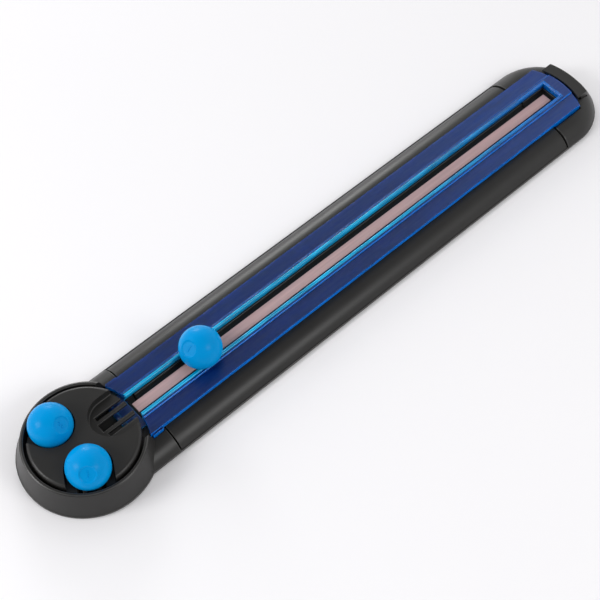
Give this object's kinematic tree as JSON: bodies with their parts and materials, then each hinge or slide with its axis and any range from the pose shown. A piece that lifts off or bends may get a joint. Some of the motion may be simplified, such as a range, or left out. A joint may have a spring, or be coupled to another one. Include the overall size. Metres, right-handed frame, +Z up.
{
  "type": "paper trimmer",
  "caption": "Portable paper trimmer: long low base with a hinged clear rail, a sliding press-down ball-knob cutter, and a round head with a turning carousel of stored cutters.",
  "frame": {"origin": "middle of the bounding box in plan, on the table plane under the rubber feet", "axes": "+X along the rail from the round head to the end cap, +Z up from the table"},
  "size_m": [0.4314, 0.076, 0.0331],
  "materials": {
    "charcoal_plastic": "satin moulded",
    "azure_plastic": "satin",
    "clear_blue_plastic": "polished, see-through",
    "beige_strip": "matt",
    "steel": "bright zinc",
    "blade_steel": "ground",
    "black_rubber": "matt"
  },
  "bodies": {
    "base": {"head_housing": "charcoal_plastic", "deck": "charcoal_plastic", "end_cap": "charcoal_plastic", "bottom_plate": "charcoal_plastic", "plate_screws": "steel", "rubber_feet": "black_rubber", "cutting_strip": "beige_strip", "hinge_pins": "steel", "latch_pin": "steel", "detent_leaf": "steel", "leaf_screw": "steel"},
    "carousel": {"carousel": "charcoal_plastic", "carousel_washer": "steel", "carousel_screw": "steel", "shoe_wave": "charcoal_plastic", "spring_wave": "steel", "shoe_score": "charcoal_plastic", "spring_score": "steel"},
    "rail": {"clear_rail": "clear_blue_plastic"},
    "cutter": {"shoe_straight": "charcoal_plastic", "spring_straight": "steel"},
    "latch": {"latch": "charcoal_plastic"},
    "press_straight": {"knob_straight": "azure_plastic", "holder_straight": "charcoal_plastic", "axle_straight": "steel"},
    "press_wave": {"knob_wave": "azure_plastic", "holder_wave": "charcoal_plastic", "axle_wave": "steel"},
    "press_score": {"knob_score": "azure_plastic", "holder_score": "charcoal_plastic", "axle_score": "steel"},
    "blade_straight": {"wheel_straight": "blade_steel"},
    "blade_wave": {"wheel_wave": "blade_steel"},
    "blade_score": {"wheel_score": "blade_steel"}
  },
  "joints": [
    {"name": "carousel_turn", "type": "hinge", "parent": "base", "child": "carousel", "pos_m": [-0.1777, 0, 0.0085], "axis": [0, 0, 1], "continuous": true},
    {"name": "rail_lift", "type": "hinge", "parent": "base", "child": "rail", "pos_m": [-0.1551, 0, 0.0099], "axis": [0, -1, 0], "range_deg": [0, 15]},
    {"name": "cutter_slide", "type": "slide", "parent": "rail", "child": "cutter", "axis": [1, 0, 0], "range_m": [-0.022, 0.279]},
    {"name": "latch_swing", "type": "hinge", "parent": "base", "child": "latch", "pos_m": [0.2025, 0, 0.0064], "axis": [0, -1, 0], "range_deg": [-8, 7]},
    {"name": "press_straight", "type": "slide", "parent": "cutter", "child": "press_straight", "axis": [0, 0, -1], "range_m": [0, 0.0016], "stiffness_N_per_m": 350, "springref_m": -0.0025, "deforming": ["spring_straight"]},
    {"name": "press_wave", "type": "slide", "parent": "carousel", "child": "press_wave", "axis": [0, 0, -1], "range_m": [0, 0.0016], "stiffness_N_per_m": 350, "springref_m": -0.0025, "deforming": ["spring_wave"]},
    {"name": "press_score", "type": "slide", "parent": "carousel", "child": "press_score", "axis": [0, 0, -1], "range_m": [0, 0.0016], "stiffness_N_per_m": 350, "springref_m": -0.0025, "deforming": ["spring_score"]},
    {"name": "spin_straight", "type": "hinge", "parent": "press_straight", "child": "blade_straight", "pos_m": [-0.0984, 0, 0.0162], "axis": [0, 1, 0], "continuous": true},
    {"name": "spin_wave", "type": "hinge", "parent": "press_wave", "child": "blade_wave", "pos_m": [-0.187, 0.01611, 0.0162], "axis": [-0.866, -0.5, 0], "continuous": true},
    {"name": "spin_score", "type": "hinge", "parent": "press_score", "child": "blade_score", "pos_m": [-0.187, -0.01611, 0.0162], "axis": [0.866, -0.5, 0], "continuous": true}
  ]
}
